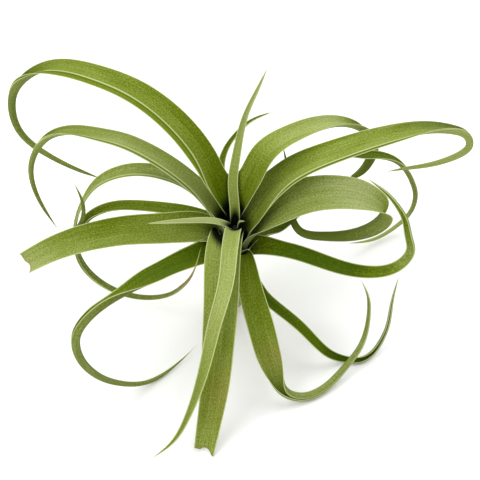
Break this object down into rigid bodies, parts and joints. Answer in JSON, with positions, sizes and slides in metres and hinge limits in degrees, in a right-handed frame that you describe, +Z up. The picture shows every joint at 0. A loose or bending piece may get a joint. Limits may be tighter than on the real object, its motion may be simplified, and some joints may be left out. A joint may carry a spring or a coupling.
{
  "type": "curly slim air plant",
  "caption": "Air plant rosette: a short bulb-like stem with long, narrow, channelled leaves that arch out and curl back into loops and hooks.",
  "frame": {"origin": "middle of the stem's flat underside, on the surface that the plant rests on", "axes": "+Z up along the stem; -Y towards the plant's front, where the two straight leaves hang; +X to the right seen from the front"},
  "size_m": [0.2664, 0.1898, 0.138],
  "materials": {
    "mature_leaf": "matt, finely scurfy leaf",
    "young_leaf": "matt, pale scurfy leaf",
    "dark_leaf": "matt, dark green leaf",
    "stem": "matt, dry and brown"
  },
  "bodies": {
    "root": {"stem": "stem", "upper_left_long_leaf": "mature_leaf", "left_mid_leaf": "young_leaf", "left_back_loop_leaf": "mature_leaf", "left_back_low_leaf": "dark_leaf", "left_notched_leaf": "mature_leaf", "young_left_leaf": "young_leaf", "lower_left_leaf": "mature_leaf", "front_notched_leaf": "mature_leaf", "front_narrow_leaf": "young_leaf", "lower_right_leaf": "mature_leaf", "lower_right_back_leaf": "mature_leaf", "right_hook_leaf": "mature_leaf", "right_arc_leaf": "mature_leaf", "right_big_leaf": "mature_leaf", "right_broad_loop_leaf": "mature_leaf", "upper_right_leaf": "mature_leaf", "right_hidden_leaf": "dark_leaf", "young_upright_leaf": "young_leaf", "small_back_leaf": "mature_leaf", "centre_tip_leaf": "young_leaf"}
  },
  "joints": []
}
